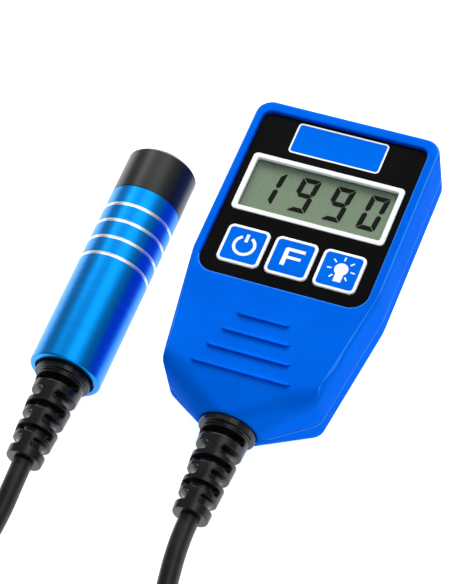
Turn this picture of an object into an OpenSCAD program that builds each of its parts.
// Handheld coating thickness gauge: a tapered meter that lies on its back, with a display and
// three keys, and a round measuring probe that lies beside it on the same cord.
// Millimetres. The origin is on the meter's back, under the middle key. X points right,
// Y runs up the meter and Z points out of its face.

/* [Meter case] */
// Width across the upper part of the case
case_w = 58.5; // [56:0.5:64]
// Top edge of the case, above the key row
case_top = 52; // [50:0.5:58]
// Depth of the case from its back to its face
case_t = 23; // [22.5:0.5:28]
// Start of the taper, below the key row
kink_drop = 5; // [2:0.5:8]
// Width at the lower corners
tail_w = 47.5; // [46:0.5:54]
// Lower corners, below the key row
tail_drop = 43.5; // [43:0.5:46]
// Lower edge of the flat face, below the key row
face_drop = 47.5; // [47.5:0.5:51]
// Length of the face's lower edge
face_end_w = 31; // [26:1:38]
// End of the round neck, below the key row
neck_drop = 53.5; // [53:0.5:60]
// Outside diameter of the neck
neck_d = 18.6; // [18.4:0.1:20]
// Wall thickness of both shells
wall = 2; // [1.7:0.1:2.3]
// Height of the parting line above the back
split_z = 9.5; // [8.5:0.5:10.5]
// Radius of the upper corners
top_r = 5; // [3:0.5:8]
// Radius of the lower corners
tail_r = 4; // [3:0.5:7]
// Radius that blends the straight sides into the taper
kink_r = 24; // [10:1:40]
// Radius at both ends of the face's lower edge
face_r = 5; // [3:0.5:7]
// Rounding along the front edge
edge_r = 1.6; // [1:0.1:2.2]
// Rounding along the back edge
back_r = 4; // [2:0.2:4.2]
// Height of the parting groove
seam_h = 0.5; // [0.3:0.1:0.8]
// Depth of the parting groove
seam_d = 0.4; // [0.3:0.1:0.6]
// Height of the locating lip inside the parting line
lip_h = 1.5; // [1:0.1:2]
// Thickness of the locating lip
lip_t = 1; // [0.8:0.1:1.2]
// Sideways clearance of parts that sit in a pocket
fit = 0.15; // [0.1:0.05:0.2]

/* [Front panel] */
// Width of the rim beside the panel
rim_side = 3; // [2.6:0.1:3.8]
// Width of the rim above the panel
rim_top = 4.1; // [2.6:0.1:5]
// Lower edge of the panel, below the key row
panel_drop = 11.4; // [9:0.2:14]
// Radius of the panel's upper corners
panel_top_r = 3; // [2:0.5:6]
// Radius of the panel's lower corners
panel_low_r = 5.5; // [3:0.5:8]
// Depth of the panel's face below the case's face
panel_recess = 1; // [0.6:0.1:1.4]
// Thickness of the panel
overlay_t = 1; // [0.8:0.1:1.2]

/* [Display] */
// Width of the panel beside the display frame
frame_side = 2.25; // [1.2:0.05:3]
// Height of the display frame
frame_h = 21; // [19:0.2:22]
// Middle of the display, above the key row
display_y = 22.4; // [21:0.2:25]
// Corner radius of the display frame
frame_r = 1.5; // [0.5:0.1:3]
// Width of the frame beside the visible window
border_side = 2.25; // [1.6:0.05:3]
// Width of the frame above and below the visible window
border_end = 1.95; // [1.6:0.05:3]
// How far the frame stands above the panel
frame_proud = 0.1; // [0:0.05:0.3]
// How far the frame laps over the clear window
lens_lap = 0.8; // [0.5:0.1:1]
// Thickness of the clear window
lens_t = 0.8; // [0.6:0.1:1]
// Thickness of the display glass
lcd_t = 2.2; // [1.8:0.1:2.6]
// Thickness of the backlight
backlight_t = 2; // [1.6:0.1:2.4]

/* [Keys] */
// Width and height of a key
key_w = 13.3; // [11:0.1:13.6]
// Distance between key centres
key_pitch = 15; // [14.8:0.1:16]
// Corner radius of a key
key_r = 2; // [1:0.1:3]
// How far a key stands above the panel
key_proud = 0.3; // [0.2:0.05:0.6]
// Travel of a key
key_travel = 0.4; // [0.2:0.05:0.6]
// Thickness of the flange that keeps a key in
key_flange_t = 0.8; // [0.6:0.1:1]
// How far the flange reaches beyond the key
key_flange_lap = 0.5; // [0.4:0.05:0.6]

/* [Grip ribs] */
// Number of ribs
rib_count = 4; // [2:1:4]
// Lower edge of the first rib, below the key row
rib_drop = 23.4; // [20:0.2:26]
// Distance between ribs
rib_pitch = 6.1; // [4.5:0.1:6.2]
// Length of the first rib
rib_l = 16.5; // [12:0.5:20]
// Extra length of each following rib
rib_grow = 4.7; // [2:0.1:5]
// Width of a rib from its ramp to its step
rib_w = 3.6; // [2.4:0.1:4.2]
// Height of the step
rib_h = 0.7; // [0.4:0.05:1]

/* [Circuit board] */
// Thickness of the board
board_t = 1.6; // [1:0.1:1.8]
// Clear space between the board's sides and the case
board_room = 2; // [1.5:0.1:3]
// Upper edge of the board, above the key row
board_top = 38.5; // [37:0.5:40]
// Lower edge of the board, below the key row
board_drop = 15; // [14.5:0.5:17]
// Width of a key switch
switch_w = 6; // [5:0.2:7]
// Corner radius of a key switch
switch_r = 0.5; // [0.2:0.1:1]
// Diameter of a switch's button
switch_button_d = 3.4; // [2.8:0.1:4]

/* [Screws] */
// Diameter of the case screws' shank
screw_d = 2.5; // [2.2:0.1:2.8]
// Diameter of the case screws' head
screw_head_d = 4.6; // [4:0.1:5]
// Height of the case screws' head
screw_head_h = 1.8; // [1.4:0.1:2.2]
// Depth of the case screws' heads below the back
screw_sink = 2.4; // [2:0.1:3]
// How far a case screw reaches into the front shell
screw_bite = 6; // [4:0.5:7]
// Outside diameter of the case screws' bosses
boss_d = 6; // [5.8:0.1:6.4]
// Diameter of the small screws' shank
small_screw_d = 2; // [1.8:0.1:2.2]
// Diameter of the small screws' head
small_head_d = 3.8; // [3.4:0.1:4]
// Height of the small screws' head
small_head_h = 1; // [0.7:0.1:1.2]
// Outside diameter of the small screws' bosses
small_boss_d = 5; // [4.6:0.1:5.2]

/* [Batteries] */
// Diameter of a cell
cell_d = 10.5; // [10:0.1:10.7]
// Length of a cell with its button
cell_l = 44.5; // [43:0.1:45]
// Diameter of a cell's button
cell_nub_d = 3.8; // [3:0.1:4.4]
// Height of a cell's button
cell_nub_l = 0.8; // [0.5:0.1:1.2]
// Space between the two cells
cell_gap = 0.7; // [0.3:0.1:1]
// Space between a cell and the cover
cell_lift = 0.3; // [0.2:0.05:0.5]
// Width and height of a contact plate
contact_w = 8.4; // [7:0.1:9.5]
// Diameter of a contact's dome where it touches the cell
dome_d = 2.2; // [1.6:0.1:3.6]
// Thickness of the contact plates
contact_t = 0.4; // [0.3:0.05:0.6]
// Height of the contact's domes
contact_dome = 0.8; // [0.5:0.1:1.2]
// Lower end of the cells, below the key row
cell_drop = 37.6; // [37:0.2:38.6]
// Thickness of the battery cover
cover_t = 1.2; // [1:0.1:1.4]
// Width of the ledge that the cover rests on
cover_ledge = 1.6; // [1.2:0.1:2]
// Length of the ledge at the cover's screw
cover_screw_ledge = 6; // [5.6:0.1:7]
// Depth of the countersunk head of the cover's screw
cover_sink = 0.9; // [0.7:0.1:1]
// Length of the cover's screw
cover_screw_l = 6; // [5:0.5:6.5]
// Thickness of the walls around the cells
cell_wall = 1.4; // [1:0.1:1.8]
// How far those walls reach above the middle of the cells
cell_wall_rise = 2.6; // [1.5:0.1:3]

/* [Strain reliefs] */
// Diameter of the collar
collar_d = 17; // [16:0.2:17.2]
// Length of the collar
collar_l = 3.5; // [3:0.1:4.5]
// How far the collar sits in its mouth
collar_sink = 1.5; // [1:0.1:2]
// Diameter of the groove behind the collar
groove_d = 13.4; // [12:0.2:14]
// Length of the groove
groove_l = 1.5; // [1:0.1:2]
// Diameter of the sleeve at the groove
sleeve_d = 15.5; // [14.6:0.1:16]
// Diameter of the sleeve at its end
sleeve_end_d = 11.3; // [10.6:0.1:13]
// Number of slot rows
slot_rows = 6; // [3:1:7]
// Distance between slot rows
slot_pitch = 4; // [3.4:0.1:4.4]
// Height of a slot along the sleeve
slot_h = 2; // [1.4:0.1:2.2]
// Angle that each slot covers
slot_angle = 150; // [120:5:158]
// Turn of the slots around the sleeve
slot_turn = 15; // [0:5:90]
// Diameter of the core inside the slots
core_d = 7.4; // [6.6:0.1:8]
// Bevel along the collar's and the sleeve's edges
sleeve_soft = 0.5; // [0.3:0.1:0.8]
// Length of the plain ring at the sleeve's end
sleeve_lip = 2.3; // [1.6:0.1:3]
// Diameter of the stem inside the wall
stem_d = 12; // [11:0.2:12.6]
// Diameter of the flange inside the case
flange_d = 15; // [14:0.2:15.6]
// Thickness of the flange inside the case
flange_t = 2; // [1.5:0.1:2.5]

/* [Probe] */
// Distance of the probe's axis from the meter's middle
probe_gap = 52.5; // [48:0.5:54]
// Rear end of the tube, below the key row
probe_drop = 51.4; // [50:0.2:53]
// Outside diameter of the probe
probe_d = 22; // [21.4:0.2:23]
// Length of the metal tube
tube_l = 62; // [60:0.5:80]
// Inside diameter of the metal tube
tube_bore = 18.6; // [18:0.1:19]
// Chamfer at the tube's rear end
tube_chamfer = 0.6; // [0.3:0.1:1]
// Number of bright rings
ring_count = 4; // [1:1:5]
// Distance from the cap to the first ring
ring_first = 6.8; // [5:0.1:8]
// Distance between rings
ring_pitch = 6.1; // [4:0.1:7]
// Width of a ring
ring_w = 0.9; // [0.6:0.1:1.2]
// Depth of a ring
ring_depth = 0.25; // [0.15:0.05:0.4]
// Length of the black cap
cap_l = 15.2; // [14.6:0.2:18]
// Chamfer at the cap's front rim
cap_chamfer = 1.1; // [0.5:0.1:1.6]
// Length of the cap's spigot inside the tube
spigot_l = 6; // [5:0.5:8]
// Thickness of the cap's front wall
cap_wall = 3; // [2.6:0.1:3.4]
// Diameter of the cap's inner chamber
chamber_d = 14; // [13.8:0.1:14.6]

/* [Sensor tip] */
// Diameter of the measuring disc
tip_d = 11.4; // [11.2:0.1:13]
// Height of the measuring face above the cap
tip_out = 2.7; // [2.2:0.1:3.4]
// Thickness of the measuring disc
tip_disc_t = 1.5; // [1.2:0.1:1.8]
// Bevel around the measuring face
tip_soft = 0.4; // [0.2:0.05:0.6]
// Diameter of the sliding neck
tip_neck_d = 10.6; // [10:0.1:11]
// Radial clearance of the sliding neck
tip_fit = 0.06; // [0.03:0.01:0.1]
// Travel of the tip
tip_travel = 1; // [0.5:0.1:1]
// Diameter of the flange that keeps the tip in
tip_flange_d = 13.2; // [12.6:0.1:13.4]
// Thickness of the flange that keeps the tip in
tip_flange_t = 1.5; // [1:0.1:2]
// Wall of the tip around its core
tip_wall = 1; // [0.8:0.1:1.2]
// Diameter of the core's middle post
post_d = 3.2; // [2.6:0.1:3.6]
// Wall of the core around its winding
core_wall = 0.9; // [0.7:0.1:1]
// Mean diameter of the return spring
spring_d = 11.4; // [11:0.1:11.8]
// Wire diameter of the return spring
spring_wire = 0.7; // [0.5:0.05:0.8]
// Turns of the return spring
spring_turns = 4; // [3:1:5]
// Thickness of the plug that carries the spring
carrier_t = 3; // [2.5:0.1:4]

/* [Probe inside] */
// Width of the probe's board
probe_board_w = 13; // [10:0.5:14]
// Thickness of the probe's board
probe_board_t = 1.6; // [1:0.1:1.8]
// Depth of the slots that hold the probe's board
board_slot = 1.2; // [0.8:0.1:1.6]
// Length of the bush at the rear of the tube
bush_l = 9; // [8:0.5:12]

/* [Cord] */
// Diameter of the cord
cord_d = 6; // [5:0.1:6.4]
// Thickness of the tie around the coil
tie_t = 0.8; // [0.6:0.1:1]
// Angle of the coil that the tie covers
tie_angle = 14; // [8:1:20]

/* [Hidden] */
$fn = 64;
arc_step = 9;
eps = 0.01;
slice_t = 0.1;
far = 200;

case_blue = "#0a5fe0";
panel_black = "#16171a";
trim_white = "#f2f4f4";
rubber_black = "#1d1d1f";
steel = "#b9bdc2";
board_green = "#1f6b3f";

// Heights, stacked down from the face
panel_z = case_t - panel_recess;
seat_z = panel_z - overlay_t;
wall_z = seat_z - wall;
lcd_z = seat_z - lens_t;
backlight_z = lcd_z - lcd_t;
board_z = backlight_z - backlight_t;
boot_z = case_t / 2;

// Sizes that follow from the ones above
panel_w = case_w - 2 * rim_side;
panel_top = case_top - rim_top;
frame_w = panel_w - 2 * frame_side;
window_w = frame_w - 2 * border_side;
window_h = frame_h - 2 * border_end;
window_r = frame_r / 2;
lcd_r = frame_r / 4;
lens_w = window_w + 2 * lens_lap;
lens_h = window_h + 2 * lens_lap;
lcd_w = lens_w - 2 * fit;
lcd_h = lens_h - 2 * fit;
key_flange_w = key_w + 2 * key_flange_lap;
key_row_w = 2 * key_pitch + key_flange_w;
board_w = case_w - 2 * wall - 2 * board_room;
cavity_drop = face_drop - wall;
lip_reach = wall + fit + lip_t;
boss_inset = lip_reach + boss_d / 2 + 1;
boss_top = [case_w / 2 - boss_inset, case_top - boss_inset];
boss_tail = [tail_w / 2 - boss_inset, -tail_drop + boss_inset];
small_boss_top = [board_w / 2 - small_boss_d / 2, board_top - small_boss_d / 2];
small_boss_low = [key_pitch, -board_drop + small_boss_d / 2];
cell_x = (cell_d + cell_gap) / 2;
cell_z = cover_t + cell_lift + cell_d / 2;
contact_l = contact_t + contact_dome;
cell_box_w = 2 * cell_d + cell_gap + 2 * fit;
cell_box_low = -cell_drop - contact_l;
cell_box_l = cell_l + 2 * contact_l;
cell_box_top = cell_box_low + cell_box_l;
cover_w = cell_box_w + 2 * cover_ledge;
cover_low = cell_box_low - cover_ledge;
cover_top = cell_box_top + cover_screw_ledge;
cover_l = cover_top - cover_low;
cover_y = (cover_low + cover_top) / 2;
cover_screw_y = cell_box_top + cell_wall + small_boss_d / 2 - cell_wall / 2;
sleeve_l = slot_rows * slot_pitch + sleeve_lip;
boot_l = collar_l + groove_l + sleeve_l;
meter_boot_y = -neck_drop + collar_sink;
probe_boot_y = -probe_drop + collar_sink;
probe_l = tube_l + cap_l;
chamber_end = probe_l - cap_wall;
carrier_s = tube_l - spigot_l;
spring_low = carrier_s + carrier_t;
spring_high = chamber_end - tip_flange_t;
tip_inner_d = tip_neck_d - 2 * tip_wall;
tip_roof = probe_l + tip_out - tip_disc_t;
winding_d = tip_inner_d - 2 * core_wall - 2 * fit;
probe_board_s = collar_sink + bush_l + flange_t;
probe_board_l = carrier_s + board_slot - probe_board_s;

// Corners of the right half, from the tail upwards: x, y, radius
face_half = [
    [face_end_w / 2, -face_drop, face_r],
    [tail_w / 2, -tail_drop, tail_r],
    [case_w / 2, -kink_drop, kink_r],
    [case_w / 2, case_top, top_r]
];
neck_half = [
    [neck_d / 2, -neck_drop, fit],
    [tail_w / 2, -tail_drop, tail_r],
    [case_w / 2, -kink_drop, kink_r],
    [case_w / 2, case_top, top_r]
];

// The cord's coil: its middle, the mean radius of its turns and its section
coil_middle = [-26, -172];
coil_r = 36;
coil_section = 2 * cord_d;

// The cord's stretches that aren't coiled
meter_run = [
    [0, meter_boot_y - boot_l, boot_z], [0, -92, 11], [0.5, -100, 9], [2, -111, 6], [4.5, -123, 3.8],
    [8, -137, 3.1], [11, -152, 3.1], [12.6, -163, 3.1], [13, -172, 3.1]
];
probe_run = [
    [-probe_gap, probe_boot_y - boot_l, probe_d / 2], [-52.6, -87, 10.3], [-53.4, -97, 7.4],
    [-55.4, -108, 4.6], [-58.2, -120, 3.4], [-61.2, -133, 3.8], [-63.4, -146, 5.6],
    [-64.7, -159, 7.8], [-65, -172, 9]
];

// Geometry helpers
function unit(v) = v / norm(v);
function turned(v, a) = [v.x * cos(a) - v.y * sin(a), v.x * sin(a) + v.y * cos(a)];
function flat(c) = [c.x, c.y];
function mirrored(half) = concat(half, [for (i = [len(half) - 1:-1:0]) [-half[i].x, half[i].y, half[i].z]]);
function rectangle(w, h, r) = [
    [w / 2, -h / 2, r], [w / 2, h / 2, r], [-w / 2, h / 2, r], [-w / 2, -h / 2, r]
];

// Moves every edge of a convex corner list inwards by d
function inset(corners, d) = let (n = len(corners)) [
    for (i = [0:n - 1])
        let (
            p = flat(corners[i]),
            u = unit(p - flat(corners[(i + n - 1) % n])),
            v = unit(flat(corners[(i + 1) % n]) - p),
            a = [-u.y, u.x],
            b = [-v.y, v.x],
            q = p + d * (a + b) / (1 + a * b)
        )
        [q.x, q.y, max(corners[i].z - d, fit)]
];

// Points of a convex corner list with each corner turned into an arc
function rounded(corners) = let (n = len(corners)) [
    for (i = [0:n - 1])
        let (
            p = flat(corners[i]),
            r = corners[i].z,
            u = unit(flat(corners[(i + n - 1) % n]) - p),
            v = unit(flat(corners[(i + 1) % n]) - p),
            half = acos(u * v) / 2,
            middle = p + unit(u + v) * r / sin(half),
            start = p + u * r / tan(half) - middle,
            turn = 180 - 2 * half,
            steps = max(2, ceil(turn / arc_step))
        )
        for (k = [0:steps]) middle + turned(start, turn * k / steps)
];

// Direction of a route at its point i
function heading(route, i) = unit(route[min(i + 1, len(route) - 1)] - route[max(i - 1, 0)]);

// Ring of points around point i of a route, square to its heading
function ring(route, i, r, sides) = let (
    ahead = i == 0 || i == len(route) - 1 ? [0, unit([0, heading(route, i).y]).y, 0] : heading(route, i),
    side = unit(cross(ahead, [0, 0, 1])),
    up = cross(side, ahead)
) [for (k = [0:sides - 1]) route[i] + r * (cos(360 * k / sides) * side + sin(360 * k / sides) * up)];

module prism(corners, low, high) {
    translate([0, 0, low])
        linear_extrude(high - low)
            polygon(rounded(corners));
}

// Closed tube through rings that are given as lists of points
module tube_skin(rings) {
    sides = len(rings[0]);
    last = len(rings) - 1;
    walls = [
        for (i = [0:last - 1], k = [0:sides - 1])
            let (next = (k + 1) % sides)
            [i * sides + k, i * sides + next, (i + 1) * sides + next, (i + 1) * sides + k]
    ];
    first_cap = [[for (k = [sides - 1:-1:0]) k]];
    last_cap = [[for (k = [0:sides - 1]) last * sides + k]];
    polyhedron([for (r = rings) each r], concat(walls, first_cap, last_cap));
}

module at_points(points) {
    for (p = points)
        translate([p.x, p.y, 0])
            children();
}

module both_sides() {
    children();
    mirror([1, 0, 0])
        children();
}

// Puts a shape that is built along +Z at a boot's seat, pointing down the meter
module boot_place(x, y, z) {
    translate([x, y, z])
        rotate([90, 0, 0])
            children();
}

// Puts a shape that is built along +Z on the probe's axis, from the tube's rear end
module probe_place() {
    translate([-probe_gap, -probe_drop, probe_d / 2])
        rotate([-90, 0, 0])
            children();
}

module pipe(outer, inner, low, high) {
    translate([0, 0, low])
        difference() {
            cylinder(d = outer, h = high - low);
            translate([0, 0, -1])
                cylinder(d = inner, h = high - low + 2);
        }
}

module rod(d, low, high) {
    translate([0, 0, low])
        cylinder(d = d, h = high - low);
}

// Meter case
// The lofted outside: a rounded plan that runs into the round neck
module case_body() {
    corners = mirrored(face_half);
    hull() {
        for (a = [0:22.5:90]) {
            front = case_t - edge_r * (1 - sin(a));
            back = back_r * (1 - sin(a));
            prism(inset(corners, edge_r * (1 - cos(a))), front - slice_t, front);
            prism(inset(corners, back_r * (1 - cos(a))), back, back + slice_t);
        }
        translate([0, slice_t - neck_drop, boot_z])
            rotate([90, 0, 0])
                cylinder(d = neck_d, h = slice_t, $fn = 32);
    }
}

module slab(low, high) {
    translate([-far, -far, low])
        cube([2 * far, 2 * far, high - low]);
}

module case_cavity(low, high) {
    prism(inset(mirrored(face_half), wall), low, high);
}

// Way through the neck for the strain relief, with room for its flange and collar
module boot_way() {
    boot_place(0, meter_boot_y, boot_z) {
        rod(collar_d + 2 * fit, 0, far);
        rod(stem_d + 2 * fit, meter_boot_y + cavity_drop - eps, eps);
        rod(flange_d + 2 * fit, meter_boot_y + cavity_drop - flange_t - lip_t, meter_boot_y + cavity_drop);
    }
}

// A rib that ramps up gently and ends in a steep lower step
module rib(l) {
    ramp = atan(rib_h / rib_w);
    intersection() {
        translate([0, rib_w / 2, 0])
            prism(rectangle(l, rib_w, rib_w / 2 - eps), case_t - wall / 2, case_t + rib_h);
        translate([0, 0, case_t + rib_h])
            rotate([-ramp, 0, 0])
                translate([-far, -far, -far])
                    cube([2 * far, 2 * far, far]);
    }
}

module front_shell() {
    color(case_blue)
        difference() {
            union() {
                difference() {
                    intersection() {
                        case_body();
                        slab(split_z, far);
                    }
                    case_cavity(split_z - 1, wall_z);
                }
                both_sides()
                    at_points([boss_top, boss_tail])
                        rod(boss_d, split_z, wall_z + eps);
                both_sides()
                    at_points([small_boss_top, small_boss_low])
                        rod(small_boss_d, board_z, wall_z + eps);
                for (i = [0:rib_count - 1])
                    translate([0, -rib_drop - i * rib_pitch, 0])
                        rib(rib_l + i * rib_grow);
            }
            prism(panel_corners(0), seat_z, far);
            translate([0, display_y, 0])
                prism(rectangle(lens_w + 2 * fit, lens_h + 2 * fit, frame_r), board_z, far);
            prism(rectangle(key_row_w + 2 * fit, key_flange_w + 2 * fit, key_r), board_z, far);
            both_sides()
                at_points([boss_top, boss_tail])
                    rod(screw_d + fit, split_z - 1, split_z + screw_bite + 1);
            both_sides()
                at_points([small_boss_top, small_boss_low])
                    rod(small_screw_d + fit, board_z - 1, wall_z);
            boot_way();
        }
}

module rear_shell() {
    corners = mirrored(face_half);
    color(case_blue)
        difference() {
            union() {
                difference() {
                    intersection() {
                        case_body();
                        slab(-1, split_z);
                    }
                    case_cavity(wall, split_z + 1);
                }
                difference() {
                    union() {
                        prism(inset(corners, wall + fit), split_z - eps, split_z + lip_h);
                        prism(inset(corners, wall / 2), split_z - lip_h, split_z);
                    }
                    prism(inset(corners, lip_reach), split_z - lip_h - 1, split_z + lip_h + 1);
                }
                both_sides()
                    at_points([boss_top, boss_tail])
                        rod(boss_d, wall - eps, split_z);
                translate([0, cover_screw_y, 0])
                    rod(small_boss_d, wall - eps, split_z - lip_h);
                cell_walls();
            }
            difference() {
                slab(split_z - seam_h, split_z + eps);
                prism(inset(mirrored(neck_half), seam_d), 0, far);
            }
            translate([0, cover_y, 0])
                prism(rectangle(cover_w + 2 * fit, cover_l + 2 * fit, cover_ledge), -1, cover_t);
            translate([-cell_box_w / 2, cell_box_low, -1])
                cube([cell_box_w, cell_box_l, far]);
            translate([0, cover_screw_y, 0])
                rod(small_screw_d + fit, 0, split_z - lip_h - 1);
            both_sides()
                at_points([boss_top, boss_tail]) {
                    rod(screw_d + fit, -1, far);
                    rod(screw_head_d + 2 * fit, -1, screw_sink + screw_head_h);
                }
            boot_way();
        }
}

// Walls that keep the two cells in place
module cell_walls() {
    w = cell_box_w + 2 * cell_wall;
    translate([-w / 2, cell_box_low - cell_wall, wall - eps])
        cube([w, cell_box_l + 2 * cell_wall, cell_z + cell_wall_rise - wall]);
}

// The countersunk head of the cover's screw, wider by gap all round
module cover_screw_head(gap) {
    translate([0, cover_screw_y, 0])
        cylinder(d1 = small_head_d + 2 * gap, d2 = small_screw_d + 2 * gap, h = cover_sink);
}

module battery_cover() {
    color(case_blue)
        difference() {
            translate([0, cover_y, 0])
                prism(rectangle(cover_w, cover_l, cover_ledge), 0, cover_t);
            translate([0, cover_screw_y, 0])
                rod(small_screw_d + 2 * fit, -1, far);
            cover_screw_head(fit);
        }
}

// A pan-head screw: its head below the given height and its shank above it
module screw(shank_d, head_d, head_h, seat, reach) {
    rod(shank_d, seat - eps, seat + reach);
    difference() {
        rod(head_d, seat - head_h, seat);
        translate([0, 0, seat - head_h - 1])
            rod(head_d / 2, 0, 1 + head_h / 2, $fn = 6);
    }
}

module cover_screw() {
    color(steel)
        difference() {
            union() {
                cover_screw_head(0);
                translate([0, cover_screw_y, 0])
                    rod(small_screw_d, cover_sink - eps, cover_screw_l);
            }
            translate([0, cover_screw_y, 0])
                rod(small_head_d / 2, -1, cover_sink / 2, $fn = 6);
        }
}

module case_screws() {
    color(steel)
        both_sides()
            at_points([boss_top, boss_tail])
                screw(screw_d, screw_head_d, screw_head_h, screw_sink + screw_head_h, split_z + screw_bite
                    - screw_sink - screw_head_h);
}

module board_screws() {
    color(steel)
        both_sides()
            at_points([small_boss_top, small_boss_low])
                screw(small_screw_d, small_head_d, small_head_h, board_z - board_t, board_t + wall);
}

// Panel, display and keys
function panel_corners(gap) = let (
    w = panel_w / 2 - gap,
    low = -panel_drop + gap,
    high = panel_top - gap
) [[w, low, panel_low_r], [w, high, panel_top_r], [-w, high, panel_top_r], [-w, low, panel_low_r]];

module front_panel() {
    color(panel_black)
        difference() {
            prism(panel_corners(fit), seat_z, panel_z);
            translate([0, display_y, 0])
                prism(rectangle(frame_w + 2 * fit, frame_h + 2 * fit, frame_r), 0, far);
            for (i = [-1:1])
                translate([i * key_pitch, 0, 0])
                    prism(rectangle(key_w + 2 * fit, key_w + 2 * fit, key_r), 0, far);
        }
}

module display_frame() {
    color(trim_white)
        translate([0, display_y, 0])
            difference() {
                prism(rectangle(frame_w, frame_h, frame_r), seat_z, panel_z + frame_proud);
                prism(rectangle(window_w, window_h, window_r), 0, far);
            }
}

module display_window() {
    color("white", 0.3)
        translate([0, display_y, 0])
            prism(rectangle(lens_w, lens_h, window_r), lcd_z, seat_z);
}

module lcd_glass() {
    color("#a9b3a2")
        translate([0, display_y, 0])
            prism(rectangle(lcd_w, lcd_h, lcd_r), backlight_z, lcd_z);
}

module backlight() {
    color(trim_white)
        translate([0, display_y, 0])
            prism(rectangle(lcd_w, lcd_h, lcd_r), board_z, backlight_z);
}

module main_board() {
    color(board_green)
        difference() {
            translate([0, (board_top - board_drop) / 2, 0])
                prism(rectangle(board_w, board_top + board_drop, frame_r), board_z - board_t, board_z);
            both_sides()
                at_points([small_boss_top, small_boss_low])
                    rod(small_screw_d + 2 * fit, 0, far);
        }
}

module key(i) {
    color(case_blue)
        translate([i * key_pitch, 0, 0]) {
            prism(rectangle(key_w, key_w, key_r), seat_z - key_flange_t, panel_z + key_proud);
            prism(rectangle(key_flange_w, key_flange_w, key_r), seat_z - key_flange_t, seat_z);
        }
}

module power_key() {
    key(-1);
}

module function_key() {
    key(0);
}

module light_key() {
    key(1);
}

// A switch whose button ends just below the pressed key
module key_switch(i) {
    button_z = seat_z - key_flange_t - key_travel - eps;
    shoulder_z = button_z - key_travel;
    color(panel_black)
        translate([i * key_pitch, 0, 0]) {
            prism(rectangle(switch_w, switch_w, switch_r), board_z, shoulder_z);
            rod(switch_button_d, shoulder_z - eps, button_z);
        }
}

module power_switch() {
    key_switch(-1);
}

module function_switch() {
    key_switch(0);
}

module light_switch() {
    key_switch(1);
}

// Cells and contacts
// A cell along +Y from its flat end
module cell() {
    rotate([-90, 0, 0]) {
        rod(cell_d, 0, cell_l - cell_nub_l);
        rod(cell_nub_d, cell_l - cell_nub_l - eps, cell_l);
    }
}

module left_cell() {
    color("#3a6ea5")
        translate([-cell_x, -cell_drop, cell_z])
            cell();
}

module right_cell() {
    color("#3a6ea5")
        translate([cell_x, -cell_drop + cell_l, cell_z])
            rotate([0, 0, 180])
                cell();
}

// A contact plate on an end wall, with a dome for each cell, facing +Y from its plate
module contact(cells) {
    x_low = min(cells) - contact_w / 2;
    x_high = max(cells) + contact_w / 2;
    color(steel) {
        translate([x_low, 0, cell_z - contact_w / 2])
            cube([x_high - x_low, contact_t, contact_w]);
        for (x = cells)
            translate([x, contact_t - eps, cell_z])
                rotate([-90, 0, 0])
                    cylinder(d1 = 2 * dome_d, d2 = dome_d, h = contact_dome + eps);
    }
}

module left_contact() {
    translate([0, cell_box_low, 0])
        contact([-cell_x]);
}

module right_contact() {
    translate([0, cell_box_low, 0])
        contact([cell_x]);
}

module contact_bridge() {
    translate([0, cell_box_top, 0])
        rotate([0, 0, 180])
            contact([-cell_x, cell_x]);
}

// Strain reliefs
// Two opposite slots at one height of the sleeve
module slot_row(turn) {
    for (side = [0, 180])
        rotate([0, 0, turn + side])
            rotate_extrude(angle = slot_angle)
                translate([core_d / 2, -slot_h / 2])
                    square([collar_d, slot_h]);
}

// A moulded sleeve: collar, groove and a tapered body whose slot rows turn by a quarter each
module strain_relief(stem_l) {
    neck = collar_l + groove_l;
    color(rubber_black)
        difference() {
            rotate_extrude()
                polygon([
                    [0, -stem_l - flange_t], [flange_d / 2, -stem_l - flange_t], [flange_d / 2, -stem_l],
                    [stem_d / 2, -stem_l], [stem_d / 2, 0], [collar_d / 2, 0],
                    [collar_d / 2, collar_l - sleeve_soft], [collar_d / 2 - sleeve_soft, collar_l],
                    [groove_d / 2, collar_l], [groove_d / 2, neck],
                    [sleeve_d / 2 - sleeve_soft, neck], [sleeve_d / 2, neck + sleeve_soft],
                    [sleeve_end_d / 2, neck + sleeve_l - sleeve_soft],
                    [sleeve_end_d / 2 - sleeve_soft, neck + sleeve_l],
                    [0, neck + sleeve_l]
                ]);
            for (i = [0:slot_rows - 1])
                translate([0, 0, neck + (i + 0.5) * slot_pitch])
                    slot_row(90 * i);
        }
}

module meter_strain_relief() {
    boot_place(0, meter_boot_y, boot_z)
        rotate([0, 0, slot_turn])
            strain_relief(-meter_boot_y - cavity_drop);
}

module probe_strain_relief() {
    boot_place(-probe_gap, probe_boot_y, probe_d / 2)
        rotate([0, 0, slot_turn])
            strain_relief(bush_l);
}

// Probe
module probe_tube() {
    r = probe_d / 2;
    color("#1277d8")
        probe_place()
            difference() {
                rotate_extrude()
                    polygon([
                        [tube_bore / 2, 0], [r - tube_chamfer, 0], [r, tube_chamfer], [r, tube_l],
                        [tube_bore / 2, tube_l]
                    ]);
                for (i = [0:ring_count - 1])
                    translate([0, 0, tube_l - ring_first - i * ring_pitch - ring_w / 2])
                        pipe(probe_d + 2, probe_d - 2 * ring_depth, 0, ring_w);
            }
}

module probe_cap() {
    r = probe_d / 2;
    spigot = tube_bore / 2 - fit;
    color(rubber_black)
        probe_place()
            rotate_extrude()
                polygon([
                    [chamber_d / 2, tube_l - spigot_l], [spigot, tube_l - spigot_l], [spigot, tube_l],
                    [r, tube_l], [r, probe_l - cap_chamfer], [r - cap_chamfer, probe_l],
                    [tip_neck_d / 2 + tip_fit, probe_l], [tip_neck_d / 2 + tip_fit, chamber_end],
                    [chamber_d / 2, chamber_end]
                ]);
}

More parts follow.
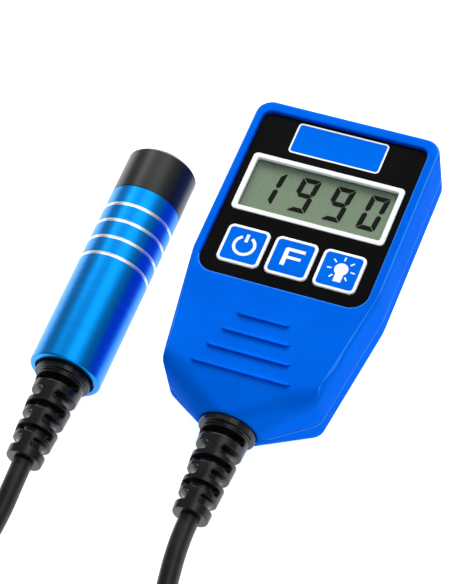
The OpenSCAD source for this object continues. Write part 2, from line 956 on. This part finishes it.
module sensor_tip() {
    face = probe_l + tip_out;
    color("#2b2c2e")
        probe_place()
            rotate_extrude()
                polygon([
                    [0, tip_roof], [0, face], [tip_d / 2 - tip_soft, face], [tip_d / 2, face - tip_soft],
                    [tip_d / 2, tip_roof], [tip_neck_d / 2, tip_roof], [tip_neck_d / 2, chamber_end],
                    [tip_flange_d / 2, chamber_end], [tip_flange_d / 2, spring_high],
                    [tip_inner_d / 2, spring_high], [tip_inner_d / 2, tip_roof]
                ]);
}

// A pot core: an outer wall, a floor and a middle post
module sensor_core() {
    r = tip_inner_d / 2;
    color("#3c3b3a")
        probe_place()
            rotate_extrude()
                polygon([
                    [0, spring_high], [r, spring_high], [r, tip_roof], [r - core_wall, tip_roof],
                    [r - core_wall, spring_high + core_wall], [post_d / 2, spring_high + core_wall],
                    [post_d / 2, tip_roof], [0, tip_roof]
                ]);
}

module sensor_winding() {
    color("#b4652d")
        probe_place()
            pipe(winding_d, post_d + 2 * fit, spring_high + core_wall, tip_roof - fit);
}

// An open helix from the carrier to the tip's flange
module tip_spring() {
    sides = 8;
    per_turn = 16;
    count = spring_turns * per_turn;
    low = spring_low + spring_wire / 2;
    rise = spring_high - spring_low - spring_wire;
    helix = [
        for (i = [0:count])
            let (a = 360 * i / per_turn)
            [spring_d / 2 * cos(a), spring_d / 2 * sin(a), low + rise * i / count]
    ];
    slope = atan(rise / (PI * spring_d * spring_turns));
    rings = [
        for (i = [0:count])
            let (a = 360 * i / per_turn, side = [cos(a), sin(a), 0])
            let (up = [sin(a) * sin(slope), -cos(a) * sin(slope), cos(slope)])
            [
                for (k = [0:sides - 1])
                    let (b = 360 * k / sides)
                    helix[i] + spring_wire / 2 * (cos(b) * side + sin(b) * up)
            ]
    ];
    color(steel)
        probe_place()
            tube_skin(rings);
}

module spring_carrier() {
    color(trim_white)
        probe_place()
            difference() {
                rod(chamber_d - 2 * fit, carrier_s, spring_low);
                translate([-probe_board_w / 2, -probe_board_t / 2 - fit, carrier_s - 1])
                    cube([probe_board_w, probe_board_t + 2 * fit, 1 + board_slot]);
                rod(post_d, 0, far);
            }
}

module probe_board() {
    color(board_green)
        probe_place()
            translate([fit - probe_board_w / 2, -probe_board_t / 2, probe_board_s])
                cube([probe_board_w - 2 * fit, probe_board_t, probe_board_l]);
}

module probe_bush() {
    color(rubber_black)
        probe_place()
            pipe(tube_bore - 2 * fit, stem_d + 2 * fit, collar_sink, collar_sink + bush_l);
}

// Cord
module cord_run(route) {
    color(rubber_black)
        tube_skin([for (i = [0:len(route) - 1]) ring(route, i, cord_d / 2, 10)]);
}

module cord_meter_run() {
    cord_run(meter_run);
}

module cord_probe_run() {
    cord_run(probe_run);
}

module coil_profile(grow, low) {
    side = coil_section + 2 * grow;
    translate([coil_r, (low + coil_section + grow) / 2])
        polygon(rounded(rectangle(side, coil_section + grow - low, cord_d / 2)));
}

module cord_coil() {
    color(rubber_black)
        translate([coil_middle.x, coil_middle.y, 0])
            rotate_extrude()
                coil_profile(0, 0);
}

module cord_tie() {
    color(panel_black)
        translate([coil_middle.x, coil_middle.y, 0])
            rotate([0, 0, -90 - tie_angle / 2])
                rotate_extrude(angle = tie_angle)
                    difference() {
                        coil_profile(tie_t, 0);
                        coil_profile(0, tie_t);
                    }
}

front_shell();
rear_shell();
front_panel();
display_frame();
display_window();
lcd_glass();
backlight();
main_board();
power_key();
function_key();
light_key();
power_switch();
function_switch();
light_switch();
left_cell();
right_cell();
left_contact();
right_contact();
contact_bridge();
battery_cover();
cover_screw();
case_screws();
board_screws();
meter_strain_relief();
probe_tube();
probe_cap();
sensor_tip();
sensor_core();
sensor_winding();
tip_spring();
spring_carrier();
probe_board();
probe_bush();
probe_strain_relief();
cord_meter_run();
cord_coil();
cord_probe_run();
cord_tie();
